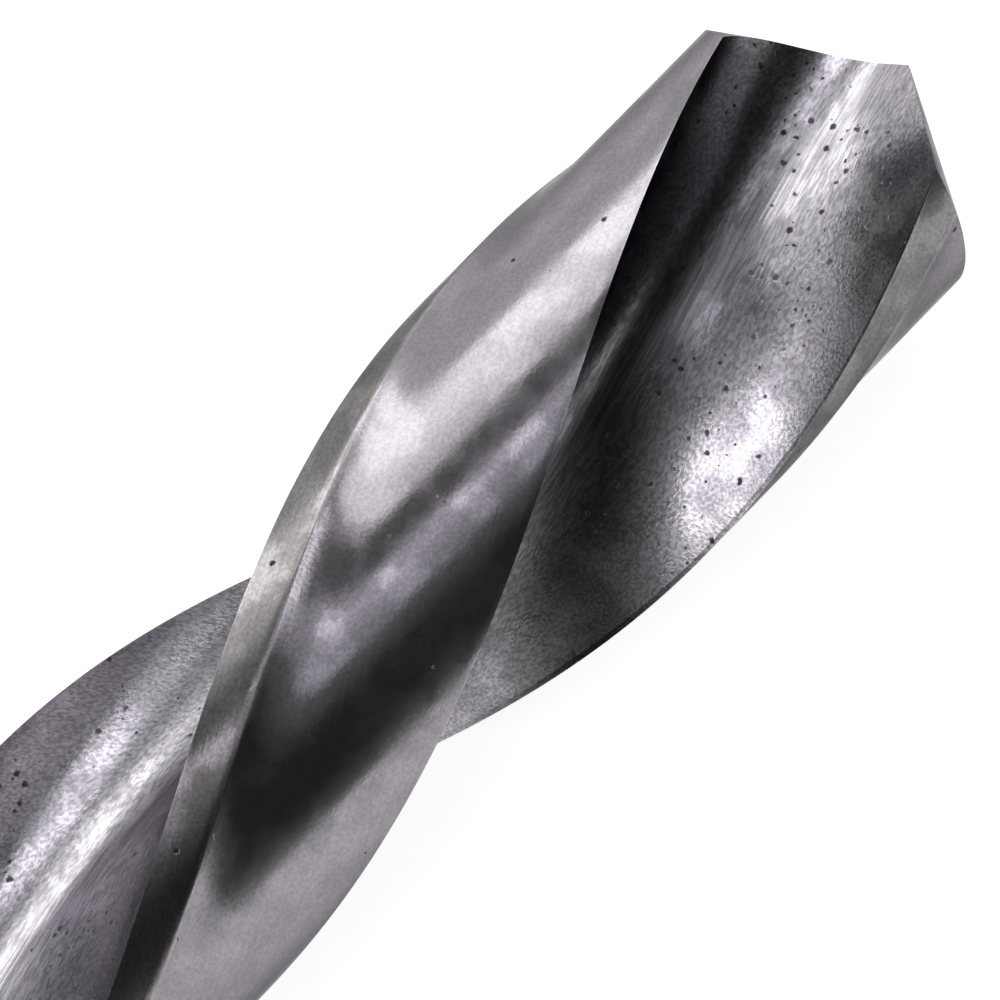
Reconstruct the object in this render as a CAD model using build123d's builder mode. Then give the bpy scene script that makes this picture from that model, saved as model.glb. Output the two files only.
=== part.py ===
from build123d import *
from math import asin, cos, degrees, hypot, radians, sin, sqrt, tan
import os

# A left-hand twist drill, lying on its side. +X runs from the shank to the point, +Z is up,
# and the origin is on the surface that the drill lies on, under the middle of its length.
# Lengths are in millimetres and angles in degrees. Angles round the axis grow from +Y towards +Z, and
# from a land's cutting edge to its heel. The leading edge angle at the point is the one at which the
# drill comes to rest on its margins. Sketches are drawn from the seam of the blank, which meets the
# middle of a land where the flutes end.

# Blank
drill_diameter = 5.0
overall_length = 86.0
flute_length = 52.0
shank_diameter = 4.95
shank_chamfer = 0.4
neck_taper_length = 1.0

# Flutes and lands
helix_lead = 31.1
web_thickness = 0.8
land_angle = 88.0
leading_edge_angle = 125.0
margin_width = 0.63
margin_height = 0.135
flute_hollow = 0.84
heel_lean_angle = 48.0
flute_wheel_radius = 12.0
clearance_delay = 0.8

# Point. Each flank is part of a cone, whose apex lies beyond the point on the far side of the axis.
near_lip_half_angle = 61.5
far_lip_half_angle = 63.5
flank_cone_half_angle = 43.0
flank_apex_distance = 2.5
flank_apex_offset = 0.93

# Worked out from these
drill_radius = drill_diameter / 2
shank_radius = shank_diameter / 2
body_radius = drill_radius - margin_height
web_radius = web_thickness / 2
shank_length = overall_length - flute_length
shank_end_x = -overall_length / 2
flute_end_x = shank_end_x + shank_length
point_x = shank_end_x + overall_length
twist_per_mm = 360 / helix_lead
margin_angle = degrees(margin_width / drill_radius)
lip_half_angle = (near_lip_half_angle + far_lip_half_angle) / 2
lip_length = sqrt(drill_radius**2 - web_radius**2)

# The wheel that grinds a flute lifts out of it over the run-out, from the web to the outside.
runout_rise = drill_radius - web_radius
runout_length = sqrt(flute_wheel_radius**2 - (flute_wheel_radius - runout_rise) ** 2)
full_flute_x = flute_end_x + runout_length
body_start_x = full_flute_x + clearance_delay

RAKE_POINTS = 6
RUNOUT_STEPS = 6
FLUTE_STEPS = 18
POINT_STOCK = 0.5
OVERRUN = 0.5
RAKE_REACH = 1.1 * lip_length
VOID_REACH = 1.8 * drill_radius
POINT_DEPTH = 1.2 * drill_radius
FLANK_CONE_HEIGHT = 3 * POINT_DEPTH
MARGIN_ROOT = 0.9 * drill_radius
MARGIN_TOP = 1.1 * drill_radius

# The blank is longer than the drill, and the point is ground out of the rest.
blank_end_x = point_x + POINT_STOCK
flute_stations = [flute_end_x + runout_length * i / RUNOUT_STEPS for i in range(RUNOUT_STEPS)]
full_flute_length = blank_end_x + OVERRUN - full_flute_x
flute_stations += [full_flute_x + full_flute_length * i / FLUTE_STEPS for i in range(FLUTE_STEPS + 1)]
drill_axis = Axis((0, 0, drill_radius), (1, 0, 0))
seam_to_edge = -twist_per_mm * flute_length - land_angle / 2
seam_angle = leading_edge_angle - seam_to_edge
seam_direction = Vector(0, cos(radians(seam_angle)), sin(radians(seam_angle)))
profile_normal = Vector(1, 0, 0).cross(seam_direction)
profile_plane = Plane(origin=(0, 0, drill_radius), x_dir=(1, 0, 0), z_dir=profile_normal)


def axis_plane(x):
    """The transverse plane of the drill at x, with its own x towards the seam."""
    return Plane(origin=(x, 0, drill_radius), x_dir=seam_direction, z_dir=(1, 0, 0))


def leading_angle_at(x, land):
    """From the seam to a land's leading edge at x. It falls towards the point: a left-hand helix."""
    return seam_to_edge + twist_per_mm * (point_x - x) + 180 * land


def polar(radius, angle):
    """A point of the transverse plane."""
    return Vector(radius * cos(radians(angle)), radius * sin(radians(angle)))


def lip_fall(distance):
    """How far the cutting lip lies below the apex, at a distance along the lip."""
    return distance / tan(radians(lip_half_angle))


def lip_direction(leading_angle):
    """The direction in which the straight lip runs outwards, for a land's leading edge at the apex."""
    return leading_angle + twist_per_mm * lip_fall(lip_length) + degrees(asin(web_radius / drill_radius))


def rake_point(leading_angle, distance):
    """A point of the flute's cutting side. Each one twists up to a point of the straight lip."""
    radius = hypot(distance, web_radius)
    lip_angle = lip_direction(leading_angle) - degrees(asin(web_radius / radius))
    return polar(radius, lip_angle - twist_per_mm * lip_fall(distance))


def flute_outline(leading_angle):
    """What the wheel takes out in front of a leading edge, closed well outside the drill."""
    points = [rake_point(leading_angle, RAKE_REACH * i / (RAKE_POINTS - 1)) for i in range(RAKE_POINTS)]
    web = points[0]
    along_web = Vector(-web.Y, web.X).normalized()
    Spline(*points, tangents=[along_web, points[-1] - points[-2]])
    heel_angle = leading_angle - 180 + land_angle
    heel = polar(drill_radius, heel_angle)
    outwards = polar(flute_hollow, heel_angle + heel_lean_angle)
    Bezier(web, web - along_web * flute_hollow, heel - outwards, heel)
    Polyline(
        heel,
        heel + outwards / 2,
        polar(VOID_REACH, heel_angle),
        polar(VOID_REACH, leading_angle),
        points[-1],
    )


def flute_lift(x):
    """How far the wheel has risen at x: nothing over the full flute, and its own arc in the run-out."""
    distance = max(full_flute_x - x, 0)
    return flute_wheel_radius - sqrt(flute_wheel_radius**2 - distance**2)


def sweep_along_helix(start_x):
    """Carries the pending section from start_x past the point, turning it with the helix."""
    centre = (start_x, 0, drill_radius)
    end_x = blank_end_x + OVERRUN
    axis_line = Line(centre, (end_x, 0, drill_radius), mode=Mode.PRIVATE)
    guide = Helix(
        pitch=helix_lead,
        height=end_x - start_x,
        radius=drill_radius,
        center=centre,
        direction=(1, 0, 0),
        lefthand=True,
        mode=Mode.PRIVATE,
    )
    sweep(path=axis_line, binormal=guide)


def flank_grind(half_angle, turn):
    """What the wheel takes off the end of the blank for one flank, for a lip's half angle of the point."""
    lip_angle = lip_direction(seam_to_edge) + turn
    lip_frame = axis_plane(point_x).location * Location((0, 0, 0), (0, 0, lip_angle))
    side_fall = flank_apex_offset**2 / (2 * flank_apex_distance * tan(radians(flank_cone_half_angle)))
    apex_height = flank_apex_distance / tan(radians(half_angle)) + side_fall
    apex_tilt = flank_cone_half_angle - half_angle
    cone_apex = Location((-flank_apex_distance, -flank_apex_offset, apex_height), (0, apex_tilt, 0))
    with BuildPart() as grind:
        with BuildSketch(axis_plane(point_x - POINT_DEPTH)):
            Circle(POINT_DEPTH)
        extrude(amount=POINT_DEPTH + POINT_STOCK + OVERRUN / 2)
        with Locations(lip_frame * cone_apex):
            Cone(
                bottom_radius=FLANK_CONE_HEIGHT * tan(radians(flank_cone_half_angle)),
                top_radius=0,
                height=FLANK_CONE_HEIGHT,
                align=(Align.CENTER, Align.CENTER, Align.MAX),
                mode=Mode.SUBTRACT,
            )
    return grind.part


near_flank_grind = flank_grind(near_lip_half_angle, 0)
far_flank_grind = flank_grind(far_lip_half_angle, 180)

with BuildPart() as margins:
    # The two strips that stand at the full diameter behind the leading edges
    for land in range(2):
        start = leading_angle_at(body_start_x, land) - margin_angle
        end = start + 2 * margin_angle
        with BuildSketch(axis_plane(body_start_x)):
            with BuildLine():
                Polyline(
                    polar(MARGIN_ROOT, start),
                    polar(MARGIN_TOP, start),
                    polar(MARGIN_TOP, end),
                    polar(MARGIN_ROOT, end),
                    close=True,
                )
            make_face()
        sweep_along_helix(body_start_x)
    with BuildSketch(axis_plane(body_start_x)):
        Circle(drill_radius)
    extrude(amount=blank_end_x - body_start_x, mode=Mode.INTERSECT)


with BuildPart() as twist_drill:
    # Turned blank: the shank, the neck that holds the run-out, and the body, cleared between the margins
    with BuildSketch(profile_plane):
        with BuildLine():
            Polyline(
                (shank_end_x, 0),
                (shank_end_x, shank_radius - shank_chamfer),
                (shank_end_x + shank_chamfer, shank_radius),
                (flute_end_x, shank_radius),
                (flute_end_x + neck_taper_length, drill_radius),
                (body_start_x, drill_radius),
                (body_start_x, body_radius),
                (blank_end_x, body_radius),
                (blank_end_x, 0),
                close=True,
            )
        make_face()
    revolve(axis=drill_axis)
    add(margins.part)

    # Flutes: one transverse outline that turns along the axis, and rises out of the neck at its end
    for flute in range(2):
        for station_x in flute_stations:
            leading_angle = leading_angle_at(station_x, flute)
            rise = Location(polar(flute_lift(station_x), leading_angle - (180 - land_angle) / 2))
            with BuildSketch(Plane(axis_plane(station_x).location * rise)):
                with BuildLine():
                    flute_outline(leading_angle)
                make_face()
        loft(mode=Mode.SUBTRACT)

    # Point: the two ground flanks meet in the chisel edge
    add(near_flank_grind, mode=Mode.SUBTRACT)
    add(far_flank_grind, mode=Mode.SUBTRACT)

os.makedirs("parts", exist_ok=True)
twist_drill.part.label = "twist_drill"
export_step(twist_drill.part, "parts/twist_drill.step")
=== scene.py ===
"""A left-hand twist drill on a plain table, seen close at its ground point.

The drill's shape follows the sizes of its solid part: a blank, two flutes that turn along a left-hand
helix, and a point ground on two cones. Lengths are in millimetres until a mesh is made, and angles are
in degrees, measured round the axis from +Y towards +Z.
"""

import logging
import math
from collections.abc import Callable
from dataclasses import dataclass
from enum import Enum

import bpy
import numpy as np
from mathutils import Matrix, Vector
from mathutils.geometry import delaunay_2d_cdt


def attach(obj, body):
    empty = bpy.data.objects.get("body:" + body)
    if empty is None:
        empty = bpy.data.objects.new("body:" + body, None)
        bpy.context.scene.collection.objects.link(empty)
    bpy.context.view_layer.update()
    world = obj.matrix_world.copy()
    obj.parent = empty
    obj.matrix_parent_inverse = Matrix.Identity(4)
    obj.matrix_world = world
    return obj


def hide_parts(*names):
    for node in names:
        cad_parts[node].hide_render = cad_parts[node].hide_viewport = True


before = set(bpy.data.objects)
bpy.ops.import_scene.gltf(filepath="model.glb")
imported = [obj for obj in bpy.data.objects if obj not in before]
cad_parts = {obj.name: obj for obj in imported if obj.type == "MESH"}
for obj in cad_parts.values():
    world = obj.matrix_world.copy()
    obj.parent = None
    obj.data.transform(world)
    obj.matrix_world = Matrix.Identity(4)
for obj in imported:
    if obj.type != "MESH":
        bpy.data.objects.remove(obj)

logging.basicConfig(level=logging.INFO, format="%(name)s: %(message)s")
LOG = logging.getLogger("twist drill")

MM = 0.001
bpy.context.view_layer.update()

# How often an unknown place is worked out anew before it counts as found
HALVINGS = 40
SETTLING_ROUNDS = 60
# The height of a row of even triangles, as a share of their side
TRIANGLE_HEIGHT = 0.866
# Places of the transverse plane nearer than this are one, and a smaller triangle is none
SAME_PLACE = 1e-7
NO_AREA = 1e-9


class Region(Enum):
    """The differently finished surfaces of the drill, by the number that their faces carry."""

    LAND = 0
    MARGIN = 1
    FLUTE = 2
    FLANK = 3
    SHANK = 4


# ---------------------------------------------------------------------------------------------------
# Shape
# ---------------------------------------------------------------------------------------------------


def polar(radius: np.ndarray | float, angle: np.ndarray | float) -> np.ndarray:
    """Points of the transverse plane.

    Args:
        radius: Distance from the axis.
        angle: Angle round the axis, in degrees.

    Returns:
        The points, as an array with Y and Z in its last dimension.
    """
    turn = np.radians(angle)
    return np.stack([radius * np.cos(turn), radius * np.sin(turn)], axis=-1)


def rotated(points: np.ndarray, angle: np.ndarray | float) -> np.ndarray:
    """The points turned round the axis.

    Args:
        points: Points of the transverse plane.
        angle: One angle for them all, or one for each, in degrees.

    Returns:
        The turned points.
    """
    turn = np.radians(angle)
    y, z = points[..., 0], points[..., 1]
    return np.stack([y * np.cos(turn) - z * np.sin(turn), y * np.sin(turn) + z * np.cos(turn)], axis=-1)


def crossing(side_at: Callable[[float], float], low: float, high: float) -> float:
    """Where a value changes its sign.

    Args:
        side_at: Gives the value at a place.
        low: A place on one side of the change.
        high: A place on its other side.

    Returns:
        The place of the change, on the side of low.
    """
    sign = side_at(low)
    for _ in range(HALVINGS):
        middle = (low + high) / 2
        low, high = (middle, high) if side_at(middle) * sign > 0 else (low, middle)
    return low


@dataclass
class FlankCone:
    """The cone on which one flank of the point is ground.

    Its apex lies beyond the point, on the far side of the axis from the lip.
    """

    lip_half_angle: float
    lip_angle: float
    cone_half_angle: float = 43.0
    apex_distance: float = 2.5
    apex_offset: float = 0.93

    def drop(self, points: np.ndarray) -> np.ndarray:
        """How far the flank lies below the tip of the drill.

        Args:
            points: Points of the transverse plane.

        Returns:
            The drop at each point.
        """
        local = rotated(points, -self.lip_angle)
        slope = math.radians(self.cone_half_angle)
        side_fall = self.apex_offset**2 / (2 * self.apex_distance * math.tan(slope))
        apex_height = self.apex_distance / math.tan(math.radians(self.lip_half_angle)) + side_fall
        tilt = math.radians(self.cone_half_angle - self.lip_half_angle)
        across = local[..., 0] + self.apex_distance
        side = local[..., 1] + self.apex_offset
        axis_across, axis_down = -math.sin(tilt), -math.cos(tilt)
        cosine2 = math.cos(slope) ** 2
        a = axis_down**2 - cosine2
        b = 2 * across * axis_across * axis_down
        c = across**2 * (axis_across**2 - cosine2) - cosine2 * side**2
        height = (-b - np.sqrt(np.maximum(b * b - 4 * a * c, 0))) / (2 * a)
        return -(apex_height + height)


@dataclass
class DrillForm:
    """The sizes of the drill, which are those of its solid part, and the curves that follow from them."""

    diameter: float = 5.0
    overall_length: float = 86.0
    flute_length: float = 52.0
    shank_diameter: float = 4.95
    shank_chamfer: float = 0.4
    neck_taper_length: float = 1.0
    helix_lead: float = 31.1
    web_thickness: float = 0.8
    land_angle: float = 88.0
    leading_edge_angle: float = 125.0
    margin_width: float = 0.63
    margin_height: float = 0.135
    flute_hollow: float = 0.84
    heel_lean_angle: float = 48.0
    flute_wheel_radius: float = 12.0
    clearance_delay: float = 0.8
    near_lip_half_angle: float = 61.5
    far_lip_half_angle: float = 63.5

    def __post_init__(self) -> None:
        """Works out the sizes that depend on the others."""
        self.radius = self.diameter / 2
        self.web_radius = self.web_thickness / 2
        self.body_radius = self.radius - self.margin_height
        self.shank_end = -self.overall_length / 2
        self.point = self.overall_length / 2
        self.flute_end = self.point - self.flute_length
        self.twist = 360 / self.helix_lead
        self.margin_angle = math.degrees(self.margin_width / self.radius)
        rise = self.radius - self.web_radius
        wheel = self.flute_wheel_radius
        self.runout_length = math.sqrt(wheel**2 - (wheel - rise) ** 2)
        self.full_flute = self.flute_end + self.runout_length
        self.body_start = self.full_flute + self.clearance_delay
        self.lip_length = math.sqrt(self.radius**2 - self.web_radius**2)
        self.lip_half_angle = (self.near_lip_half_angle + self.far_lip_half_angle) / 2
        lip = self.lip_direction(self.leading_edge_angle)
        self.cones = (
            FlankCone(self.near_lip_half_angle, lip),
            FlankCone(self.far_lip_half_angle, lip + 180),
        )

    def lip_fall(self, distance: np.ndarray | float) -> np.ndarray | float:
        """How far a lip lies below the tip, at a distance along it."""
        return distance / math.tan(math.radians(self.lip_half_angle))

    def lip_direction(self, leading_angle: float) -> float:
        """The direction in which the straight lip of a leading edge runs outwards."""
        turn = self.twist * self.lip_fall(self.lip_length)
        return leading_angle + turn + math.degrees(math.asin(self.web_radius / self.radius))

    def rake(self, leading_angle: float, distance: np.ndarray) -> np.ndarray:
        """The cutting side of a flute, each point of which twists up to a point of the straight lip.

        Args:
            leading_angle: The leading edge's angle in the transverse plane of the section.
            distance: Distances along the lip.

        Returns:
            The points of the section.
        """
        radius = np.hypot(distance, self.web_radius)
        angle = self.lip_direction(leading_angle) - np.degrees(np.arcsin(self.web_radius / radius))
        return polar(radius, angle - self.twist * self.lip_fall(distance))

    def heel_side(self, leading_angle: float, count: int) -> np.ndarray:
        """The hollow side of a flute, from the heel of the other land in to the web.

        Args:
            leading_angle: The angle of the leading edge that the flute cuts with.
            count: How many points.

        Returns:
            The points of the section, as the curve of one Bezier span.
        """
        web = self.rake(leading_angle, np.zeros(1))[0]
        along_web = np.array([-web[1], web[0]]) / np.hypot(*web)
        heel_angle = leading_angle - 180 + self.land_angle
        heel = polar(self.radius, heel_angle)
        outwards = polar(self.flute_hollow, heel_angle + self.heel_lean_angle)
        t = np.linspace(0, 1, count)[:, None]
        ends = (1 - t) ** 3 * heel + t**3 * web
        heel_pull = 3 * (1 - t) ** 2 * t * (heel - outwards)
        web_pull = 3 * (1 - t) * t**2 * (web - along_web * self.flute_hollow)
        return ends + (heel_pull + web_pull)

    def drop(self, points: np.ndarray) -> np.ndarray:
        """How far the ground point lies below the tip, over the transverse plane."""
        return np.maximum(self.cones[0].drop(points), self.cones[1].drop(points))

    def flank_side(self, points: np.ndarray) -> np.ndarray:
        """Positive on the near flank, negative on the far one, and zero on the chisel edge."""
        return self.cones[0].drop(points) - self.cones[1].drop(points)

    def flute_lift(self, x: float) -> float:
        """How far the flute has risen out of the drill at x, which is nothing short of the run-out."""
        distance = min(max(self.full_flute - x, 0.0), self.flute_wheel_radius)
        return self.flute_wheel_radius - math.sqrt(self.flute_wheel_radius**2 - distance**2)


@dataclass
class Outline:
    """The transverse outline of the fluted drill before it is twisted, point by point round the axis.

    The flute is 1 or 2 where a point lies in one, and 0 on a land. The edge distance is to the nearer end
    of a point's own stretch of the outline, and the heel distance to the end that it starts from.
    """

    points: np.ndarray
    region: np.ndarray
    flute: np.ndarray
    edge_distance: np.ndarray
    heel_distance: np.ndarray


@dataclass
class DrillBody:
    """The drill itself, in one piece: shank, fluted body and ground point.

    The land falls from a tiny step behind the margin to the body's radius over the relief angle. The rows
    stand closer over the fine length next to the point, and the last ones, over the point zone, lean into
    the ground end. The shank's rows start and stop a little way from its ends. A spacing or gap on the
    ground end is for the points that fill it, and the gap is a share of the spacing.
    """

    form: DrillForm
    curve_points: int = 400
    heel_points: int = 34
    rake_curve_points: int = 200
    rake_curve_power: float = 0.9
    rake_points: int = 26
    margin_points: int = 7
    land_points: int = 44
    margin_step: float = 0.012
    margin_step_angle: float = 1.0
    relief_angle: float = 22.0
    relief_power: int = 3
    row_spacing: float = 0.2
    fine_length: float = 24.0
    coarse_spacing: float = 0.55
    clearance_step: float = 0.02
    point_zone: float = 3.0
    point_rows: int = 18
    chisel_points: int = 15
    chisel_reach: float = 0.3
    flank_spacing: float = 0.07
    flank_gap_share: float = 0.6
    end_ring_share: float = 0.5
    shank_rows: int = 14
    first_shank_row: float = 3.0
    last_shank_row: float = 1.0

    def outline(self) -> Outline:
        """The section of the full flutes, with the angles that it has in the plane of the tip.

        Returns:
            Its points with, for each, the region of the surface that starts there.
        """
        form = self.form
        shoulder = form.radius - self.margin_step
        points, region, flute, gap, heel_gap = [], [], [], [], []

        def add(curve: np.ndarray, kind: Region, side: int = 0) -> None:
            """Adds a stretch of the outline up to, but without, its last point.

            Args:
                curve: The stretch.
                kind: The region that it belongs to.
                side: Its flute, or 0 for a land.
            """
            steps = np.hypot(*np.diff(curve, axis=0).T)
            along = np.concatenate([[0], np.cumsum(steps)])
            points.append(curve[:-1])
            region.append(np.full(len(curve) - 1, kind.value))
            flute.append(np.full(len(curve) - 1, side))
            gap.append(np.minimum(along, along[-1] - along)[:-1])
            heel_gap.append(along[:-1])

        for side in range(2):
            leading = form.leading_edge_angle + 180 * side
            margin_end = leading + form.margin_angle
            step_end = margin_end + self.margin_step_angle
            add(self.flute_curve(leading), Region.FLUTE, side + 1)
            add(polar(form.radius, np.linspace(leading, margin_end, self.margin_points)), Region.MARGIN)
            add(polar(np.array([form.radius, shoulder]), np.array([margin_end, step_end])), Region.MARGIN)
            add(self.land_curve(leading, step_end), Region.LAND)
        return Outline(*[np.concatenate(values) for values in (points, region, flute, gap, heel_gap)])

    def hollow(self, leading: float) -> np.ndarray:
        """The hollow side of a flute, as far as it lies in the cleared body.

        Args:
            leading: The angle of the flute's leading edge.

        Returns:
            Its points, from the heel in.
        """
        curve = self.form.heel_side(leading, self.curve_points)
        return curve[np.hypot(*curve.T) <= self.form.body_radius]

    def flute_curve(self, leading: float) -> np.ndarray:
        """One whole flute, from the heel past the web to the leading edge.

        Args:
            leading: The angle of the leading edge.

        Returns:
            Its points.
        """
        hollow = self.evenly(self.hollow(leading), self.heel_points)
        reach = np.linspace(0, 1, self.rake_curve_points) ** self.rake_curve_power * self.form.lip_length
        cutting = self.evenly(self.form.rake(leading, reach), self.rake_points)
        return np.concatenate([hollow, cutting[1:]])

    def land_curve(self, leading: float, start_angle: float) -> np.ndarray:
        """The land behind a margin, which is eased down to the body's radius.

        Args:
            leading: The angle of the land's leading edge.
            start_angle: Where the land starts, behind the margin's step.

        Returns:
            Its points, up to the heel.
        """
        form = self.form
        heel = self.hollow(leading + 180)[0]
        heel_angle = math.degrees(math.atan2(heel[1], heel[0])) % 360
        while heel_angle < start_angle:
            heel_angle += 360
        angle = np.linspace(start_angle, heel_angle, self.land_points)
        left = np.clip(1 - (angle - start_angle) / self.relief_angle, 0, 1)
        rise = form.radius - self.margin_step - form.body_radius
        return polar(form.body_radius + rise * left**self.relief_power, angle)

    @staticmethod
    def evenly(curve: np.ndarray, count: int) -> np.ndarray:
        """The curve with its points evenly spaced.

        Args:
            curve: Points of a smooth curve.
            count: How many points to keep.

        Returns:
            Points along the same curve.
        """
        along = np.concatenate([[0], np.cumsum(np.hypot(*np.diff(curve, axis=0).T))])
        places = np.linspace(0, along[-1], count)
        return np.stack([np.interp(places, along, curve[:, i]) for i in range(2)], axis=1)

    def tops(self, points: np.ndarray) -> np.ndarray:
        """Where the untwisted lines of the outline run out in the ground point.

        Args:
            points: Points of the untwisted section.

        Returns:
            The place along the axis of each line's end.
        """
        form = self.form
        x = np.full(len(points), form.point - 1.0)
        for _ in range(SETTLING_ROUNDS):
            x = form.point - form.drop(rotated(points, form.twist * (form.point - x)))
        return x

    def with_chisel_ends(self, outline: Outline) -> Outline:
        """Adds the two points of the outline at which the chisel edge runs into the flutes.

        Args:
            outline: The section.

        Returns:
            The section with the points added.
        """
        form = self.form

        def side_of(points: np.ndarray) -> np.ndarray:
            """Which flank ends the line through each point."""
            x = self.tops(points)
            return form.flank_side(rotated(points, form.twist * (form.point - x)))

        count = len(outline.points)
        signs = side_of(outline.points)
        changes = [i for i in range(count) if signs[i] * signs[(i + 1) % count] < 0]
        points, *others = vars(outline).values()
        for i in sorted(changes, reverse=True):
            start, end = outline.points[i], outline.points[(i + 1) % count]
            share = crossing(lambda t: side_of((start + (end - start) * t)[None])[0], 0.0, 1.0)
            points = np.insert(points, i + 1, start + (end - start) * share, axis=0)
            others = [np.insert(values, i + 1, values[i], axis=0) for values in others]
        return Outline(points, *others)

    def stations(self) -> np.ndarray:
        """The places of the rows below the point.

        Returns:
            The places along the axis, from the neck up.
        """
        form = self.form
        zone = form.point - self.point_zone
        fine = np.arange(zone, form.point - self.fine_length, -self.row_spacing)
        coarse = np.arange(fine[-1] - self.coarse_spacing, form.flute_end, -self.coarse_spacing)
        bends = [
            form.flute_end,
            form.flute_end + form.neck_taper_length,
            form.full_flute,
            form.body_start - self.clearance_step,
            form.body_start + self.clearance_step,
        ]
        return np.unique(np.round(np.concatenate([fine, coarse, bends]), 4))

    def section_at(self, outline: Outline, x: float) -> np.ndarray:
        """The untwisted section of the drill at x.

        Args:
            outline: The section of the full flutes.
            x: The place along the axis.

        Returns:
            The section's points, of which there are as many as in the outline.
        """
        form = self.form
        points = outline.points.copy()
        taper = min(max((x - form.flute_end) / form.neck_taper_length, 0.0), 1.0)
        limit = form.shank_diameter / 2 + (form.radius - form.shank_diameter / 2) * taper
        lift = form.flute_lift(x)
        if lift > 0:
            for side in (1, 2):
                chosen = outline.flute == side
                middle = form.leading_edge_angle + 180 * (side - 1) - (180 - form.land_angle) / 2
                points[chosen] += polar(lift, middle)
        radius = np.hypot(*points.T)
        if x < form.body_start:
            land = outline.flute == 0
            scale = np.where(land, limit / radius, np.minimum(1.0, limit / radius))
            points *= scale[:, None]
        return points

    def build(self) -> bpy.types.Object:
        """Makes the drill with straight flutes, which the helical twist then turns.

        Returns:
            The object, whose mesh keeps the region of each face and each point's distances on the outline.
        """
        form = self.form
        outline = self.with_chisel_ends(self.outline())
        count = len(outline.points)
        top = self.tops(outline.points)
        rows = self.stations()
        body = [np.column_stack([np.full(count, x), self.section_at(outline, float(x))]) for x in rows]
        zone = rows[-1]
        for k in range(1, self.point_rows + 1):
            share = k / self.point_rows
            body.append(np.column_stack([zone + (top - zone) * share, outline.points]))
        shank = self.shank_rings(count, body[0])
        rings = shank + body
        vertices = np.concatenate(rings)
        faces, kinds = self.wall_faces(len(rings), outline, len(shank))
        cap_vertices, cap_faces = self.point_cap(rings[-1], (len(rings) - 1) * count, len(vertices))
        end_faces = [list(range(count))[::-1]]
        places = np.concatenate([vertices, cap_vertices])
        mesh = bpy.data.meshes.new("twist_drill_straight")
        mesh.from_pydata(above_table(places, form.radius), [], faces + cap_faces + end_faces)
        kinds = kinds + [Region.FLANK.value] * len(cap_faces) + [Region.SHANK.value]
        mesh.attributes.new("region", "INT", "FACE").data.foreach_set("value", kinds)
        inner = np.full(len(cap_vertices), 1.0)
        for name in ("edge_distance", "heel_distance"):
            gaps = np.concatenate([np.tile(getattr(outline, name), len(rings)), inner])
            mesh.attributes.new(name, "FLOAT", "POINT").data.foreach_set("value", gaps.astype(np.float32))
        LOG.info("straight drill: %d vertices, %d rings", len(places), len(rings))
        straight = bpy.data.objects.new("twist_drill_straight", mesh)
        bpy.context.scene.collection.objects.link(straight)
        return straight

    def shank_rings(self, count: int, first: np.ndarray) -> list[np.ndarray]:
        """The rings of the plain shank, from its end to the flutes.

        Args:
            count: How many points a ring has.
            first: The ring at the end of the flutes, whose angles the shank keeps.

        Returns:
            The rings, each an array of places.
        """
        form = self.form
        angle = np.degrees(np.arctan2(first[:, 2], first[:, 1]))
        radius = form.shank_diameter / 2
        small = radius - form.shank_chamfer
        start = form.shank_end
        stations = [(start, small * self.end_ring_share), (start, small)]
        stations += [(start + form.shank_chamfer, radius)]
        low, high = start + self.first_shank_row, form.flute_end - self.last_shank_row
        stations += [(float(x), radius) for x in np.linspace(low, high, self.shank_rows)]
        return [np.column_stack([np.full(count, x), polar(r, angle)]) for x, r in stations]

    def wall_faces(
        self, rings: int, outline: Outline, shank_rings: int
    ) -> tuple[list[list[int]], list[int]]:
        """The quads between the rings.

        Args:
            rings: How many rings there are.
            outline: The section, for the region of each column.
            shank_rings: How many of the first rings belong to the shank.

        Returns:
            The faces and their regions.
        """
        faces, kinds = [], []
        count = len(outline.points)
        for row in range(rings - 1):
            base = row * count
            for i in range(count):
                j = (i + 1) % count
                faces.append([base + i, base + j, base + count + j, base + count + i])
                kinds.append(Region.SHANK.value if row < shank_rings else int(outline.region[i]))
        return faces, kinds

    def point_cap(
        self, ring: np.ndarray, ring_start: int, next_index: int
    ) -> tuple[np.ndarray, list[list[int]]]:
        """The two ground flanks, with the chisel edge between them.

        Args:
            ring: The last ring, in untwisted places.
            ring_start: The index of its first vertex.
            next_index: The index of the first new vertex.

        Returns:
            The new vertices, in untwisted places, and the faces.
        """
        form = self.form
        border = rotated(ring[:, 1:], form.twist * (form.point - ring[:, 0]))
        side = form.flank_side(border)
        ends = np.argsort(np.abs(side))[:2]
        ridge = self.chisel_edge(border[ends[0]], border[ends[1]])
        inner = self.points_inside(border, ridge)
        coordinates = [Vector(p) for p in np.concatenate([border, ridge, inner])]
        count, ridge_count = len(border), len(ridge)
        edges = [(i, (i + 1) % count) for i in range(count)]
        chain = [int(ends[0]), *range(count, count + ridge_count), int(ends[1])]
        edges += list(zip(chain[:-1], chain[1:]))
        out, _, triangles, origins, _, _ = delaunay_2d_cdt(coordinates, edges, [], 1, SAME_PLACE)
        places = np.array([tuple(p) for p in out])
        index, extra = {}, []
        for k, source in enumerate(origins):
            if source and source[0] < count:
                index[k] = ring_start + source[0]
            else:
                index[k] = next_index + len(extra)
                extra.append(places[k])
        flat = np.array(extra)
        x = form.point - form.drop(flat)
        straight = rotated(flat, -form.twist * (form.point - x))
        faces = []
        for a, b, c in triangles:
            p, q, r = places[a], places[b], places[c]
            area = (q[0] - p[0]) * (r[1] - p[1]) - (q[1] - p[1]) * (r[0] - p[0])
            if abs(area) < NO_AREA:
                continue
            order = (a, b, c) if area > 0 else (a, c, b)
            faces.append([index[k] for k in order])
        return np.column_stack([x, straight]), faces

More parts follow.
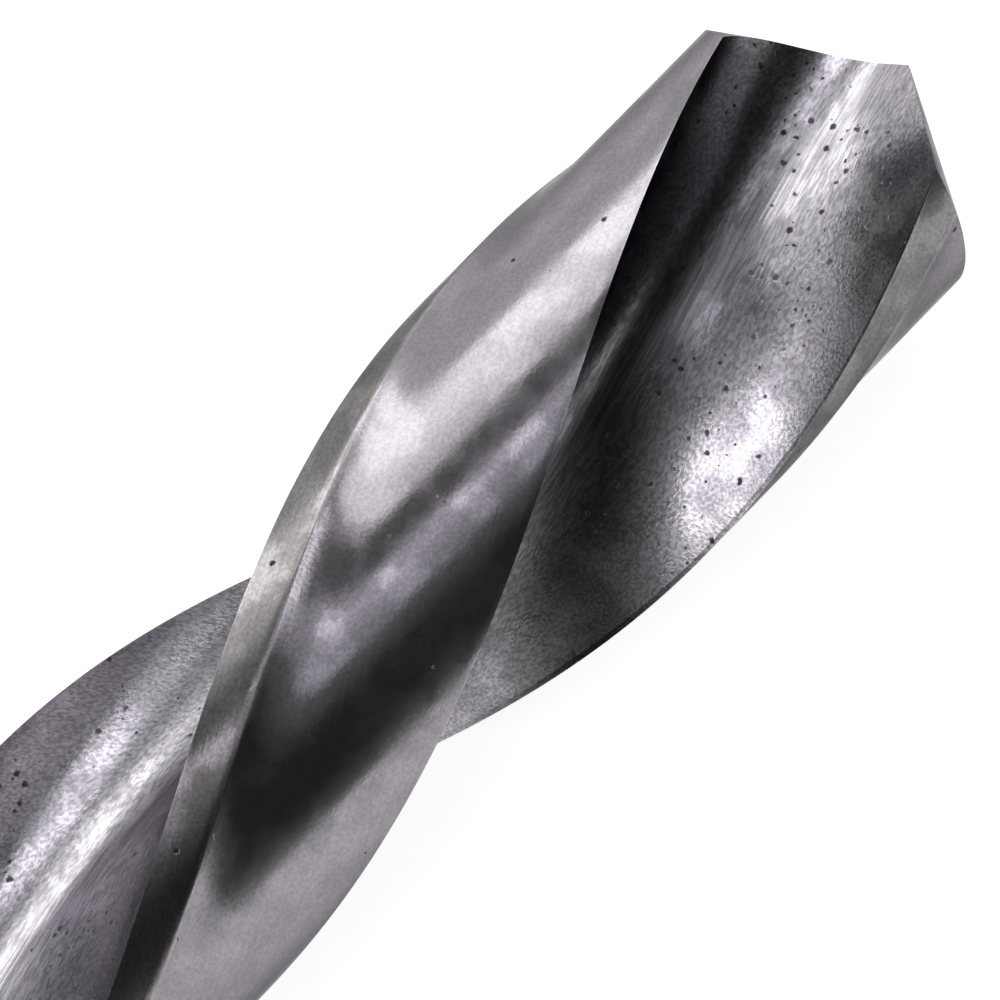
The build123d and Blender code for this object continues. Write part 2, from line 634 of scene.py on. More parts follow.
    def chisel_edge(self, first: np.ndarray, last: np.ndarray) -> np.ndarray:
        """The line on which the two flanks meet.

        Args:
            first: Its end in one flute, in the transverse plane.
            last: Its end in the other.

        Returns:
            The points between those ends.
        """
        along = last - first
        across = np.array([-along[1], along[0]]) / np.hypot(*along)
        line = []
        for share in np.linspace(0, 1, self.chisel_points)[1:-1]:
            place = first + along * share
            shift = crossing(
                lambda t: self.form.flank_side(place + across * t), -self.chisel_reach, self.chisel_reach
            )
            line.append(place + across * shift)
        return np.array(line)

    def points_inside(self, border: np.ndarray, ridge: np.ndarray) -> np.ndarray:
        """An even scatter of points over the ground end, clear of its border and of the chisel edge.

        Args:
            border: The border of the ground end.
            ridge: The points of the chisel edge.

        Returns:
            The points.
        """
        step = self.flank_spacing
        low, high = border.min(0), border.max(0)
        rows = np.arange(low[1] + step / 2, high[1], step * TRIANGLE_HEIGHT)
        columns = np.arange(low[0], high[0], step)
        grid = np.array([(y + step / 2 * (k % 2), z) for k, z in enumerate(rows) for y in columns])
        start, end = border, np.roll(border, -1, axis=0)
        y, z = grid[:, 0][:, None], grid[:, 1][:, None]
        crosses = (start[:, 1] > z) != (end[:, 1] > z)
        rise = end[:, 1] - start[:, 1]
        slope = (z - start[:, 1]) / np.where(rise == 0, SAME_PLACE, rise)
        inside = (crosses & (y < start[:, 0] + slope * (end[:, 0] - start[:, 0]))).sum(1) % 2 == 1
        near = np.sqrt(((grid[:, None] - np.concatenate([border, ridge])[None]) ** 2).sum(2)).min(1)
        return grid[inside & (near > self.flank_gap_share * step)]


def above_table(places: np.ndarray, axis_height: float) -> list[tuple[float, float, float]]:
    """Places in millimetres about the axis, as vertices in metres above the table.

    Args:
        places: Rows of x, y and z, with the drill's axis at zero.
        axis_height: The height of the axis.

    Returns:
        The vertices.
    """
    moved = places + np.array([0.0, 0.0, axis_height])
    return [tuple(row) for row in (moved * MM).tolist()]


# ---------------------------------------------------------------------------------------------------
# Node trees
# ---------------------------------------------------------------------------------------------------

Given = bpy.types.NodeSocket | float | int | str | tuple


@dataclass
class Wiring:
    """A node tree under construction, with short calls for the nodes that recur in it."""

    tree: bpy.types.NodeTree

    def put(
        self, kind: str, inputs: dict[str | int, Given] | None = None, **settings: object
    ) -> bpy.types.Node:
        """Adds a node.

        Args:
            kind: The node's type.
            inputs: What its sockets get, which is a value or another node's output.
            settings: The node's own properties.

        Returns:
            The node.
        """
        node = self.tree.nodes.new(kind)
        for name, setting in settings.items():
            setattr(node, name, setting)
        for socket, value in (inputs or {}).items():
            if isinstance(value, bpy.types.NodeSocket):
                self.join(value, node.inputs[socket])
            else:
                node.inputs[socket].default_value = value
        return node

    def join(self, source: bpy.types.NodeSocket, target: bpy.types.NodeSocket) -> None:
        """Links an output of one node to an input of another."""
        self.tree.links.new(source, target)

    def sum(self, operation: str, a: Given, b: Given = 0.0) -> bpy.types.NodeSocket:
        """The result of a sum on two numbers."""
        return self.put("ShaderNodeMath", {0: a, 1: b}, operation=operation).outputs[0]

    def vector_sum(self, operation: str, a: Given, b: Given) -> bpy.types.NodeSocket:
        """The result of a sum on two vectors."""
        return self.put("ShaderNodeVectorMath", {0: a, 1: b}, operation=operation).outputs["Vector"]

    def ease(
        self, value: Given, low: Given, high: Given, start: Given = 0.0, end: Given = 1.0
    ) -> bpy.types.NodeSocket:
        """A number carried smoothly from one range to another, and held at its ends.

        Args:
            value: The number.
            low: Where the change starts.
            high: Where the change ends.
            start: The result up to low.
            end: The result from high on.

        Returns:
            The result.
        """
        inputs = {"Value": value, "From Min": low, "From Max": high, "To Min": start, "To Max": end}
        return self.put("ShaderNodeMapRange", inputs, interpolation_type="SMOOTHSTEP").outputs["Result"]

    def noise(
        self, place: Given, scale: Given, detail: float = 2.0, rough: float = 0.5
    ) -> bpy.types.NodeSocket:
        """Smooth noise from 0 to 1 at a place.

        Args:
            place: The place, in millimetres.
            scale: How many features there are in a millimetre.
            detail: How many finer layers are added.
            rough: How strong those are.

        Returns:
            The noise.
        """
        inputs = {"Vector": place, "Scale": scale, "Detail": detail, "Roughness": rough}
        return self.put("ShaderNodeTexNoise", inputs).outputs["Fac"]

    def group(self, group: bpy.types.NodeTree, inputs: dict[str, Given]) -> bpy.types.Node:
        """Adds a shader node group.

        Args:
            group: The group's tree.
            inputs: The values of its named inputs.

        Returns:
            The node.
        """
        node = self.tree.nodes.new("ShaderNodeGroup")
        node.node_tree = group
        for name, value in inputs.items():
            node.inputs[name].default_value = value
        return node


def new_group(
    name: str, kind: str, inputs: dict[str, str], outputs: dict[str, str]
) -> tuple[Wiring, dict[str, bpy.types.NodeSocket], bpy.types.Node]:
    """Starts a node group.

    Args:
        name: Its name.
        kind: The type of its tree.
        inputs: The type of each of its inputs.
        outputs: The type of each of its outputs.

    Returns:
        The wiring of its tree, the sockets that give its inputs, and the node that takes its outputs.
    """
    tree = bpy.data.node_groups.new(name, kind)
    for side, sockets in (("INPUT", inputs), ("OUTPUT", outputs)):
        for socket, type_name in sockets.items():
            tree.interface.new_socket(socket, in_out=side, socket_type=f"NodeSocket{type_name}")
    source = tree.nodes.new("NodeGroupInput")
    given = {socket: source.outputs[socket] for socket in inputs}
    return Wiring(tree), given, tree.nodes.new("NodeGroupOutput")


# ---------------------------------------------------------------------------------------------------
# Helical twist
# ---------------------------------------------------------------------------------------------------


@dataclass
class HelicalTwist:
    """Turns the straight-fluted drill round its axis, and gives each region its finish.

    Edges that bend by more than the sharp angle stay crisp, and the rest of the surface is smooth.
    """

    form: DrillForm
    finishes: dict[Region, bpy.types.Material]
    sharp_angle: float = 24.0

    def tree(self) -> bpy.types.NodeTree:
        """Builds the node tree.

        Returns:
            The tree, with named inputs for the twist, the point's place, the flutes' length, the height of
            the axis and the finishes.
        """
        sizes = {name: "Float" for name in ("Twist per metre", "Point place", "Flute length", "Axis height")}
        dressing = {f"{region.name.title()} finish": "Material" for region in Region}
        inputs = {"Geometry": "Geometry"} | sizes | dressing
        outputs = {"Geometry": "Geometry"}
        wiring, given, result = new_group("Helical twist", "GeometryNodeTree", inputs, outputs)
        place = wiring.put("GeometryNodeInputPosition").outputs["Position"]
        kept = wiring.put(
            "GeometryNodeStoreNamedAttribute",
            {"Name": "straight", "Geometry": given["Geometry"]},
            data_type="FLOAT_VECTOR",
            domain="POINT",
        )
        wiring.join(place, kept.inputs["Value"])
        x = wiring.put("ShaderNodeSeparateXYZ", {"Vector": place}).outputs["X"]
        depth = wiring.sum("SUBTRACT", given["Point place"], x)
        depth = wiring.sum("MINIMUM", depth, given["Flute length"])
        angle = wiring.sum("MULTIPLY", depth, given["Twist per metre"])
        centre = wiring.put("ShaderNodeCombineXYZ", {"Z": given["Axis height"]}).outputs["Vector"]
        turn = {"Vector": place, "Center": centre, "Angle": angle}
        turned = wiring.put("ShaderNodeVectorRotate", turn, rotation_type="X_AXIS").outputs["Vector"]
        moved = {"Geometry": kept.outputs["Geometry"], "Position": turned}
        twisted = wiring.put("GeometryNodeSetPosition", moved).outputs["Geometry"]
        last = wiring.put("GeometryNodeRealizeInstances", {"Geometry": twisted}).outputs["Geometry"]
        which = wiring.put("GeometryNodeInputNamedAttribute", {"Name": "region"}, data_type="INT")
        for region in Region:
            same = wiring.put("FunctionNodeCompare", data_type="INT", operation="EQUAL")
            wiring.join(which.outputs["Attribute"], same.inputs["A"])
            same.inputs["B"].default_value = region.value
            chosen = {"Geometry": last, "Selection": same.outputs["Result"]}
            dressed = wiring.put("GeometryNodeSetMaterial", chosen)
            wiring.join(given[f"{region.name.title()} finish"], dressed.inputs["Material"])
            last = dressed.outputs["Geometry"]
        wiring.join(last, result.inputs["Geometry"])
        return wiring.tree

    def apply(self, straight: bpy.types.Object) -> bpy.types.Object:
        """Twists the straight drill into a plain mesh.

        Args:
            straight: The straight-fluted drill, which is removed.

        Returns:
            The drill.
        """
        modifier = straight.modifiers.new("Helical twist", "NODES")
        modifier.node_group = self.tree()
        values = {
            "Twist per metre": math.radians(self.form.twist) / MM,
            "Point place": self.form.point * MM,
            "Flute length": self.form.flute_length * MM,
            "Axis height": self.form.radius * MM,
        }
        values |= {f"{region.name.title()} finish": finish for region, finish in self.finishes.items()}
        for item in modifier.node_group.interface.items_tree:
            if item.in_out == "INPUT" and item.name in values:
                modifier[item.identifier] = values[item.name]
        graph = bpy.context.evaluated_depsgraph_get()
        mesh = bpy.data.meshes.new_from_object(straight.evaluated_get(graph), depsgraph=graph)
        mesh.name = "twist_drill_visual"
        drill = bpy.data.objects.new("ground_twist_drill", mesh)
        bpy.context.scene.collection.objects.link(drill)
        straight_mesh = straight.data
        bpy.data.objects.remove(straight)
        bpy.data.meshes.remove(straight_mesh)
        mesh.polygons.foreach_set("use_smooth", [True] * len(mesh.polygons))
        mesh.set_sharp_from_angle(angle=math.radians(self.sharp_angle))
        mesh.update()
        return drill


# ---------------------------------------------------------------------------------------------------
# Finishes
# ---------------------------------------------------------------------------------------------------


@dataclass
class SurfaceEffects:
    """The shader node groups that the finishes of the drill share, and the habits of each effect.

    Lengths are in millimetres, a scale is how many features there are in a millimetre, and a band is the
    part of a noise's range that an effect uses. The smallest pit and the narrowest and widest edge line of
    wear and painted highlight are shares of the size that a finish asks for, and a pit's flat floor is a
    share of its radius.
    """

    axis_height: float
    pit_bend_scale: float = 14.0
    pit_bend: float = 0.07
    crowd_scale: float = 0.55
    crowd_band: tuple[float, float] = (0.42, 0.62)
    pit_size_power: float = 2.5
    smallest_pit: float = 0.35
    pit_floor: float = 0.45
    grain_band: tuple[float, float] = (0.3, 0.7)
    blotch_band: tuple[float, float] = (0.35, 0.65)
    wear_and_highlight_scale: float = 3.0
    wear_and_highlight_band: tuple[float, float] = (0.3, 0.7)
    thinnest_wear_and_highlight: float = 0.2
    widest_wear_and_highlight: float = 1.3

    def __post_init__(self) -> None:
        """Builds the groups, each of them once."""
        self.lines = self.grinding_lines()
        self.pits = self.rust_pits()
        self.mottle = self.mottling()
        self.wear = self.edge_wear()

    def millimetres(self, wiring: Wiring, place: bpy.types.NodeSocket) -> bpy.types.NodeSocket:
        """A place about the drill's axis, in millimetres."""
        centred = wiring.vector_sum("SUBTRACT", place, (0.0, 0.0, self.axis_height * MM))
        return wiring.vector_sum("MULTIPLY", centred, (1 / MM, 1 / MM, 1 / MM))

    def object_place(self, wiring: Wiring) -> bpy.types.NodeSocket:
        """A place on the drill, in millimetres."""
        return self.millimetres(wiring, wiring.put("ShaderNodeTexCoord").outputs["Object"])

    def grinding_lines(self) -> bpy.types.NodeTree:
        """Lines that a wheel leaves along a flute or a land, at a slight lean to it.

        Returns:
            The group, whose Lines run from 0 to 1. Its Softness is the share of the noise's range that
            they change over.
        """
        inputs = {name: "Float" for name in ("Width", "Length", "Lean", "Softness")}
        wiring, given, result = new_group("Grinding lines", "ShaderNodeTree", inputs, {"Lines": "Float"})
        straight = wiring.put("ShaderNodeAttribute", attribute_name="straight").outputs["Vector"]
        place = self.millimetres(wiring, straight)
        x = wiring.put("ShaderNodeSeparateXYZ", {"Vector": place}).outputs["X"]
        lean = wiring.sum("MULTIPLY", x, given["Lean"])
        turn = {"Vector": place, "Angle": lean}
        turned = wiring.put("ShaderNodeVectorRotate", turn, rotation_type="X_AXIS")
        across = wiring.sum("DIVIDE", 1.0, given["Width"])
        along = wiring.sum("DIVIDE", 1.0, given["Length"])
        scale = wiring.put("ShaderNodeCombineXYZ", {"X": along, "Y": across, "Z": across}).outputs["Vector"]
        stretched = wiring.vector_sum("MULTIPLY", turned.outputs["Vector"], scale)
        fine = wiring.noise(stretched, 1.0, detail=3.0, rough=0.6)
        half = wiring.sum("DIVIDE", given["Softness"], 2.0)
        low, high = wiring.sum("SUBTRACT", 0.5, half), wiring.sum("ADD", 0.5, half)
        wiring.join(wiring.ease(fine, low, high), result.inputs["Lines"])
        return wiring.tree

    def rust_pits(self) -> bpy.types.NodeTree:
        """Small dark pits of uneven size, which crowd together in places.

        Returns:
            The group, whose Pits are 1 in a pit.
        """
        inputs = {name: "Float" for name in ("Size", "Spacing", "Crowding")}
        wiring, given, result = new_group("Rust pits", "ShaderNodeTree", inputs, {"Pits": "Float"})
        place = self.object_place(wiring)
        bend = {"Vector": place, "Scale": self.pit_bend_scale, "Detail": 2.0}
        wander = wiring.put("ShaderNodeTexNoise", bend).outputs["Color"]
        moved = wiring.vector_sum("MULTIPLY", wander, (self.pit_bend,) * 3)
        bent = wiring.vector_sum("ADD", place, moved)
        cells = wiring.sum("DIVIDE", 1.0, given["Spacing"])
        pattern = wiring.put("ShaderNodeTexVoronoi", {"Vector": bent, "Scale": cells, "Randomness": 1.0})
        chance = wiring.put("ShaderNodeSeparateColor", {"Color": pattern.outputs["Color"]})
        crowd = wiring.ease(wiring.noise(place, self.crowd_scale), *self.crowd_band)
        crowd = wiring.sum("MULTIPLY", crowd, given["Crowding"])
        kept = wiring.sum("LESS_THAN", chance.outputs["Red"], crowd)
        uneven = wiring.sum("POWER", chance.outputs["Green"], self.pit_size_power)
        share = wiring.ease(uneven, 0.0, 1.0, self.smallest_pit, 1.0)
        radius = wiring.sum("MULTIPLY", share, given["Size"])
        distance = wiring.sum("MULTIPLY", pattern.outputs["Distance"], given["Spacing"])
        floor = wiring.sum("MULTIPLY", radius, self.pit_floor)
        inside = wiring.ease(distance, floor, radius, 1.0, 0.0)
        wiring.join(wiring.sum("MULTIPLY", inside, kept), result.inputs["Pits"])
        return wiring.tree

    def mottling(self) -> bpy.types.NodeTree:
        """The fine grain and the wide dull blotches of bare steel that has been handled.

        Returns:
            The group, whose Grain and Blotches run from 0 to 1.
        """
        inputs = {"Grain size": "Float", "Blotch size": "Float"}
        outputs = {"Grain": "Float", "Blotches": "Float"}
        wiring, given, result = new_group("Mottling", "ShaderNodeTree", inputs, outputs)
        place = self.object_place(wiring)
        grain_scale = wiring.sum("DIVIDE", 1.0, given["Grain size"])
        blotch_scale = wiring.sum("DIVIDE", 1.0, given["Blotch size"])
        grain = wiring.noise(place, grain_scale, detail=3.0, rough=0.7)
        blotches = wiring.noise(place, blotch_scale, detail=3.0, rough=0.55)
        wiring.join(wiring.ease(grain, *self.grain_band), result.inputs["Grain"])
        wiring.join(wiring.ease(blotches, *self.blotch_band), result.inputs["Blotches"])
        return wiring.tree

    def edge_wear(self) -> bpy.types.NodeTree:
        """The thin bright line along an edge, partly wear and partly a painted highlight, wider in some
        places than in others.

        Returns:
            The group, whose output is 1 on the edge, where wear and a painted highlight lighten the colour.
        """
        inputs, outputs = {"Width": "Float"}, {"Wear": "Float"}
        wiring, given, result = new_group("Edge wear", "ShaderNodeTree", inputs, outputs)
        gap = wiring.put("ShaderNodeAttribute", attribute_name="edge_distance").outputs["Fac"]
        noise = wiring.noise(self.object_place(wiring), self.wear_and_highlight_scale, detail=3.0)
        uneven = wiring.ease(noise, *self.wear_and_highlight_band, self.thinnest_wear_and_highlight, self.widest_wear_and_highlight)
        width = wiring.sum("MULTIPLY", uneven, given["Width"])
        wiring.join(wiring.ease(gap, 0.0, width, 1.0, 0.0), result.inputs["Wear"])
        return wiring.tree


@dataclass(frozen=True)
class GroundSteel:
    """A bare steel surface, as a grinding wheel left it and as rust and handling have marked it, with
    painted shade in a flute's hollow and a painted highlight along its edges.

    Tones are shares of the colour by which an effect changes it, sizes are in millimetres, and depths in
    thousandths of a millimetre. Dullness is what an effect adds to the roughness, and gloss what it takes
    off. The grazing tint is the share of the light that the steel still mirrors at a glancing angle.

    The painted shade is a darkening painted into the colour of a flute's deep hollow next to its heel, near
    the point, where it stands in for the dark reflection that the hollow shows. It is as wide as its width
    at the point, grows by its spread with each millimetre from there, and ends at its reach after fading
    over its fade. Its blur is the share of its width over which its border is soft.
    """

    name: str
    color: tuple[float, float, float] = (0.28, 0.264, 0.285)
    roughness: float = 0.2
    grazing_tint: float = 0.4
    # painted shade: darkens the colour of a flute's hollow by its heel, near the point, in place of the dark
    # reflection there
    painted_shade_tone: float = 0.0
    painted_shade_width: float = 1.35
    painted_shade_spread: float = 0.3
    painted_shade_blur: float = 0.12
    painted_shade_reach: float = 12.0
    painted_shade_fade: float = 3.5
    point: float = 43.0
    line_width: float = 0.05
    line_length: float = 3.0
    line_lean: float = 0.06
    line_softness: float = 0.4
    line_tone: float = 0.15
    line_depth: float = 0.8
    pit_size: float = 0.06
    pit_spacing: float = 0.16
    pit_crowding: float = 0.4
    pit_tone: float = 0.8
    pit_depth: float = 6.0
    pit_dullness: float = 0.35
    grain_size: float = 0.05
    grain_tone: float = 0.15
    grain_depth: float = 0.35
    blotch_size: float = 0.7
    blotch_tone: float = 0.15
    blotch_dullness: float = 0.06
    blotch_gloss: float = 0.04
    # a thin lighter line along each edge: wear and a painted highlight
    wear_and_highlight_width: float = 0.03
    wear_and_highlight_tone: float = 0.35

    def material(self, effects: SurfaceEffects) -> bpy.types.Material:
        """Builds the material.

        Args:
            effects: The shared node groups.

        Returns:
            The material.
        """
        material = bpy.data.materials.new(self.name)
        material.use_nodes = True
        material.node_tree.nodes.clear()
        wiring = Wiring(material.node_tree)
        line_sizes = {
            "Width": self.line_width,
            "Length": self.line_length,
            "Lean": self.line_lean,
            "Softness": self.line_softness,
        }
        lines = wiring.group(effects.lines, line_sizes).outputs["Lines"]
        pit_sizes = {"Size": self.pit_size, "Spacing": self.pit_spacing, "Crowding": self.pit_crowding}
        pits = wiring.group(effects.pits, pit_sizes).outputs["Pits"]
        mottle_sizes = {"Grain size": self.grain_size, "Blotch size": self.blotch_size}
        mottle = wiring.group(effects.mottle, mottle_sizes)
        grain, blotches = mottle.outputs["Grain"], mottle.outputs["Blotches"]
        wear = wiring.group(effects.wear, {"Width": self.wear_and_highlight_width}).outputs["Wear"]

        tone = self.shaded(wiring, 1.0, lines, self.line_tone)
        tone = self.shaded(wiring, tone, grain, self.grain_tone)
        tone = self.shaded(wiring, tone, blotches, self.blotch_tone)
        # painted shade in the flute's hollow, taken off the colour
        tone = wiring.sum("MULTIPLY", tone, wiring.sum("SUBTRACT", 1.0, self.painted_shade(wiring, effects)))
        # painted highlight and wear: a thin lighter line along each edge of the outline
        tone = wiring.sum("ADD", tone, wiring.sum("MULTIPLY", wear, self.wear_and_highlight_tone))
        tone = wiring.sum("MULTIPLY", tone, wiring.ease(pits, 0.0, 1.0, 1.0, 1.0 - self.pit_tone))
        scaled = wiring.put("ShaderNodeVectorMath", {0: self.color, "Scale": tone}, operation="SCALE")

        dullest, glossiest = self.roughness + self.blotch_dullness, self.roughness - self.blotch_gloss
        dull = wiring.ease(blotches, 0.0, 1.0, dullest, glossiest)
        dull = wiring.sum("ADD", dull, wiring.sum("MULTIPLY", pits, self.pit_dullness))

        height = wiring.sum("MULTIPLY", lines, self.line_depth)
        height = wiring.sum("ADD", height, wiring.sum("MULTIPLY", grain, self.grain_depth))
        height = wiring.sum("SUBTRACT", height, wiring.sum("MULTIPLY", pits, self.pit_depth))
        bump = wiring.put("ShaderNodeBump", {"Strength": 1.0, "Distance": MM / 1000, "Height": height})
        shader = wiring.put(
            "ShaderNodeBsdfPrincipled",
            {
                "Metallic": 1.0,
                "Base Color": scaled.outputs["Vector"],
                "Roughness": dull,
                "Specular Tint": (self.grazing_tint, self.grazing_tint, self.grazing_tint, 1),
                "Normal": bump.outputs["Normal"],
            },
        )
        wiring.put("ShaderNodeOutputMaterial", {"Surface": shader.outputs["BSDF"]})
        return material

    def painted_shade(self, wiring: Wiring, effects: SurfaceEffects) -> bpy.types.NodeSocket:
        """The painted shade in the hollow of a flute, near the point: a darkening of the steel's colour that
        stands in for the dark reflection there.

        Args:
            wiring: The wiring of the material.
            effects: The shared node groups.

        Returns:
            The share of the colour that it loses.
        """
        heel_gap = wiring.put("ShaderNodeAttribute", attribute_name="heel_distance").outputs["Fac"]
        x = wiring.put("ShaderNodeSeparateXYZ", {"Vector": effects.object_place(wiring)}).outputs["X"]
        spread = wiring.sum("MULTIPLY", wiring.sum("SUBTRACT", self.point, x), self.painted_shade_spread)
        share = wiring.sum("DIVIDE", heel_gap, wiring.sum("ADD", spread, self.painted_shade_width))
        blur = self.painted_shade_blur
        across = wiring.ease(share, 1.0 - blur, 1.0 + blur, self.painted_shade_tone, 0.0)
        end = self.point - self.painted_shade_reach
        return wiring.sum("MULTIPLY", across, wiring.ease(x, end, end + self.painted_shade_fade))

    @staticmethod
    def shaded(
        wiring: Wiring, tone: Given, pattern: bpy.types.NodeSocket, share: float
    ) -> bpy.types.NodeSocket:
        """A tone that a pattern lightens where it is high and darkens where it is low, by a share."""
        return wiring.sum("MULTIPLY", tone, wiring.ease(pattern, 0.0, 1.0, 1.0 - share, 1.0 + share))


FINISHES: dict[Region, GroundSteel] = {
    Region.LAND: GroundSteel(
        "land_steel", pit_crowding=0.06, line_tone=0.03, line_depth=0.1, grain_tone=0.1, blotch_tone=0.06
    ),
    Region.MARGIN: GroundSteel(
        "margin_steel",
        color=(0.21, 0.199, 0.203),
        roughness=0.24,
        pit_crowding=0.05,
        line_tone=0.06,
        line_depth=0.3,
    ),
    Region.FLUTE: GroundSteel(
        "flute_steel",
        color=(0.38, 0.362, 0.39),
        roughness=0.27,
        # painted shade in this flute's hollow by its heel
        painted_shade_tone=0.6,
        line_width=0.045,
        line_length=2.5,
        line_lean=0.5,
        line_tone=0.28,
        pit_size=0.065,
        pit_spacing=0.15,
        pit_crowding=0.8,
        pit_tone=0.68,
        pit_depth=2.0,
        grain_tone=0.07,
        grain_depth=0.15,
        blotch_tone=0.09,
    ),
    Region.FLANK: GroundSteel(
        "flank_steel", color=(0.17, 0.16, 0.17), roughness=0.26, pit_crowding=0.0, line_tone=0.1
    ),
    Region.SHANK: GroundSteel(
        "shank_steel",
        color=(0.30, 0.283, 0.305),
        roughness=0.24,
        pit_crowding=0.05,
        line_tone=0.08,
        blotch_tone=0.05,
        wear_and_highlight_tone=0.0,
    ),
}


# ---------------------------------------------------------------------------------------------------
# Table, lights and camera
# ---------------------------------------------------------------------------------------------------


@dataclass
class Table:
    """The plain white surface that the drill lies on.

    Part of its white comes from the surface itself, so that the drill's shadow on it stays a soft one.
    """

    size: float = 3.0
    grey: float = 0.36
    own_white: float = 0.9

    def build(self) -> bpy.types.Object:
        """Makes the surface.

        Returns:
            The object.
        """
        half = self.size / 2
        corners = [(-half, -half, 0), (half, -half, 0), (half, half, 0), (-half, half, 0)]
        mesh = bpy.data.meshes.new("table")
        mesh.from_pydata(corners, [], [(0, 1, 2, 3)])
        table = bpy.data.objects.new("table", mesh)
        bpy.context.scene.collection.objects.link(table)
        mesh.materials.append(self.material())
        return table

    def material(self) -> bpy.types.Material:
        """Builds the white of the table, which the camera sees and the steel reflects.

        Returns:
            The material.
        """
        material = bpy.data.materials.new("table_white")
        material.use_nodes = True
        material.node_tree.nodes.clear()
        wiring = Wiring(material.node_tree)
        ray = wiring.put("ShaderNodeLightPath")
        seen = wiring.sum("MAXIMUM", ray.outputs["Is Camera Ray"], ray.outputs["Is Glossy Ray"])
        seen = wiring.sum("MAXIMUM", seen, ray.outputs["Is Transmission Ray"])
        diffuse = wiring.put("ShaderNodeBsdfDiffuse", {"Color": (self.grey, self.grey, self.grey, 1)})
        strength = wiring.sum("MULTIPLY", seen, self.own_white)
        glow = wiring.put("ShaderNodeEmission", {"Color": (1, 1, 1, 1), "Strength": strength})
        both = wiring.put("ShaderNodeAddShader", {0: diffuse.outputs["BSDF"], 1: glow.outputs["Emission"]})
        wiring.put("ShaderNodeOutputMaterial", {"Surface": both.outputs["Shader"]})
        return material


@dataclass(frozen=True)
class Softbox:
    """A soft light over the drill, square to it.

    Its angle is measured round the drill's axis from +Y towards +Z, so 90 is straight above. It reaches
    along the drill from start to end, in metres. Its level is the brightness at which steel reflects it.
    """

    name: str
    angle: float
    width_angle: float
    level: float
    start: float
    end: float
    color: tuple[float, float, float] = (1.0, 1.0, 1.0)
    distance: float = 0.5

    def build(self, axis_height: float) -> bpy.types.Object:
        """Makes the light.

        Args:
            axis_height: The height of the drill's axis, in metres.

        Returns:
            The light's object.
        """
        turn = math.radians(self.angle)
        length = self.end - self.start
        width = 2 * self.distance * math.tan(math.radians(self.width_angle / 2))
        light = bpy.data.lights.new(self.name, "AREA")
        light.shape = "RECTANGLE"
        light.size, light.size_y = length, width
        light.color = self.color
        light.energy = self.level * math.pi * length * width
        lamp = bpy.data.objects.new(self.name, light)
        away = Vector((0, math.cos(turn), math.sin(turn)))
        sideways = Vector((0, -math.sin(turn), math.cos(turn)))
        turned = Matrix((Vector((1, 0, 0)), sideways, away)).transposed().to_4x4()
        place = Vector(((self.start + self.end) / 2, 0, axis_height)) + away * self.distance
        lamp.matrix_world = Matrix.Translation(place) @ turned
        bpy.context.scene.collection.objects.link(lamp)
        return lamp


SOFTBOXES = (
    Softbox("key_softbox", 42, 27, 2.4, 0.0, 0.24),
    Softbox("edge_softbox", 63, 13, 1.75, 0.0, 0.24),
    Softbox("strip_softbox", 97, 9, 2.3, 0.04, 0.13, color=(0.94, 0.92, 1.0)),
    Softbox("shoulder_softbox", 109, 15, 0.9, 0.04, 0.13, color=(0.94, 0.92, 1.0)),
    Softbox("point_side_softbox", 92, 36, 3.2, 0.25, 0.42, color=(0.97, 0.96, 1.0)),
    Softbox("shank_side_softbox", 85, 48, 3.6, -0.42, -0.19, color=(0.98, 0.97, 1.0)),
    Softbox("fill_softbox", 34, 48, 1.1, -0.40, -0.07),
)


@dataclass
class Studio:
    """The room round the drill: a pale wall on its +Y side, a dim ceiling and a dark wall on its -Y side.

    Each change is spread over a band of angles round the drill, from +Y towards +Z: the pale wall dims
    to the ceiling, the ceiling darkens to the other wall, and that wall lightens again near the table.
    """

    pale: float = 1.2
    dim: float = 0.2
    dark: float = 0.05
    low: float = 0.2
    ceiling_band: tuple[float, float] = (15.0, 75.0)
    dark_wall_band: tuple[float, float] = (98.0, 135.0)
    low_band: tuple[float, float] = (160.0, 180.0)

    def build(self) -> None:
        """Makes the world, whose level follows the angle from which its light comes."""
        world = bpy.data.worlds.new("studio")
        bpy.context.scene.world = world
        world.use_nodes = True
        world.node_tree.nodes.clear()
        wiring = Wiring(world.node_tree)
        way = wiring.put("ShaderNodeTexCoord").outputs["Generated"]
        split = wiring.put("ShaderNodeSeparateXYZ", {"Vector": way})
        turn = wiring.sum("ARCTAN2", split.outputs["Z"], split.outputs["Y"])
        angle = wiring.sum("DEGREES", turn)
        level = wiring.ease(angle, *self.ceiling_band, self.pale, self.dim)
        level = wiring.sum("MINIMUM", level, wiring.ease(angle, *self.dark_wall_band, self.pale, self.dark))
        level = wiring.sum("MAXIMUM", level, wiring.ease(angle, *self.low_band, self.dark, self.low))
        background = wiring.put("ShaderNodeBackground", {"Strength": level})
        wiring.put("ShaderNodeOutputWorld", {"Surface": background.outputs["Background"]})


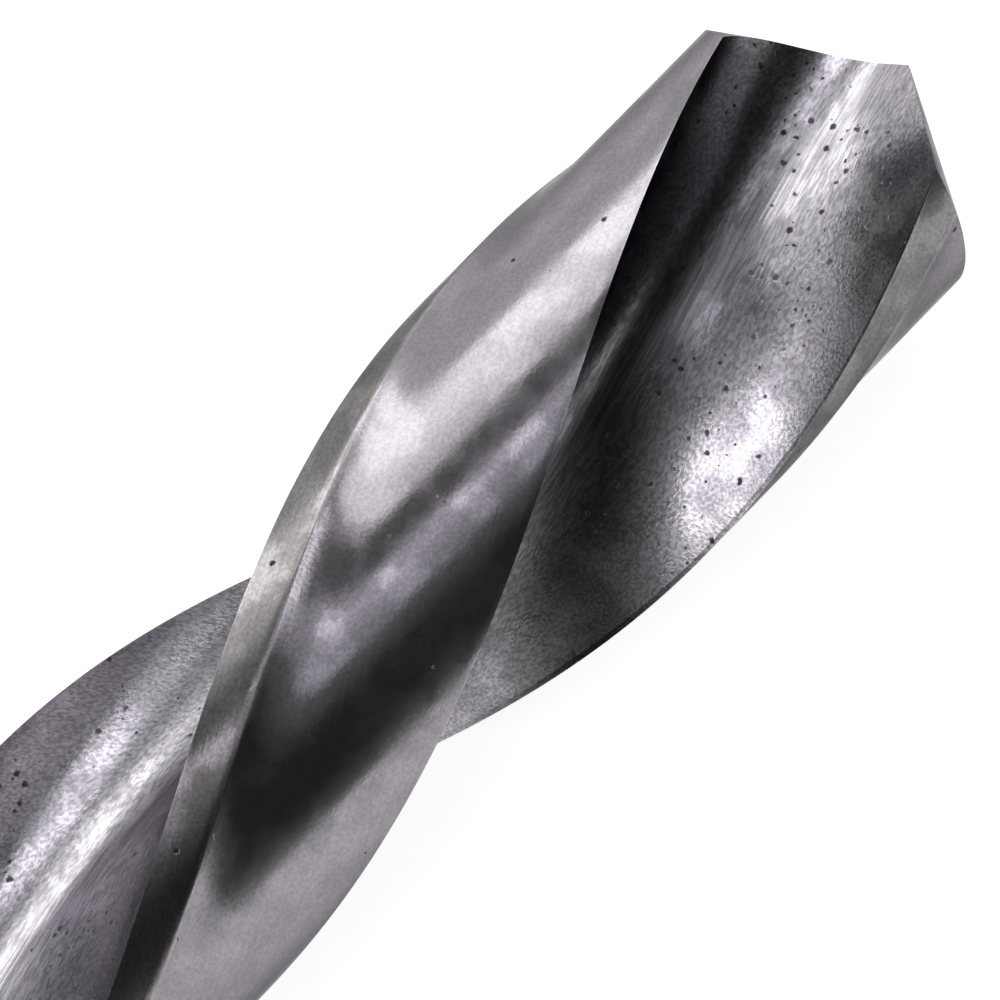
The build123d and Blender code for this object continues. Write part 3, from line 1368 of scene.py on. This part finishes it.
@dataclass
class CloseCamera:
    """The camera, looking down on the point of the drill.

    It is placed by what it looks at, in metres, and by its angles: an azimuth of zero looks along +Y,
    an elevation of 90 looks straight down, and a positive roll leans it to the left.
    """

    target: tuple[float, float, float] = (0.035043, -0.00006, 0.0025)
    azimuth: float = -19.908
    elevation: float = 66.564
    roll: float = -27.214
    distance: float = 0.089417
    lens: float = 244.681
    sensor: float = 36.0
    nearest: float = 0.005

    def build(self) -> bpy.types.Object:
        """Makes the camera, and makes it the scene's.

        Returns:
            The camera's object.
        """
        data = bpy.data.cameras.new("close_camera")
        data.lens, data.sensor_width = self.lens, self.sensor
        data.clip_start = self.nearest
        camera = bpy.data.objects.new("close_camera", data)
        azimuth, elevation = math.radians(self.azimuth), math.radians(self.elevation)
        level = math.cos(elevation)
        back = Vector((math.sin(azimuth) * level, -math.cos(azimuth) * level, math.sin(elevation)))
        right = Vector((0, 0, 1)).cross(back).normalized()
        turn = Matrix((right, back.cross(right), back)).transposed()
        turn = turn @ Matrix.Rotation(math.radians(self.roll), 3, "Z")
        camera.matrix_world = Matrix.Translation(Vector(self.target) + back * self.distance) @ turn.to_4x4()
        bpy.context.scene.collection.objects.link(camera)
        bpy.context.scene.camera = camera
        return camera


def main() -> None:
    """Builds the drill, the table, the lights and the camera."""
    bpy.context.scene.view_settings.view_transform = "Standard"
    form = DrillForm()
    effects = SurfaceEffects(form.radius)
    finishes = {region: finish.material(effects) for region, finish in FINISHES.items()}
    straight = DrillBody(form).build()
    drill = HelicalTwist(form, finishes).apply(straight)
    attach(drill, "root")
    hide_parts("twist_drill")
    LOG.info("drill: %d vertices, %d faces", len(drill.data.vertices), len(drill.data.polygons))
    Table().build()
    LOG.info("table: plain white")
    Studio().build()
    LOG.info("studio: pale, dim and dark walls")
    for softbox in SOFTBOXES:
        softbox.build(form.radius * MM)
        LOG.info("%s: %g degrees round the drill", softbox.name, softbox.angle)
    camera = CloseCamera().build()
    LOG.info("camera: %g mm lens", camera.data.lens)


if __name__ == "__main__":
    main()
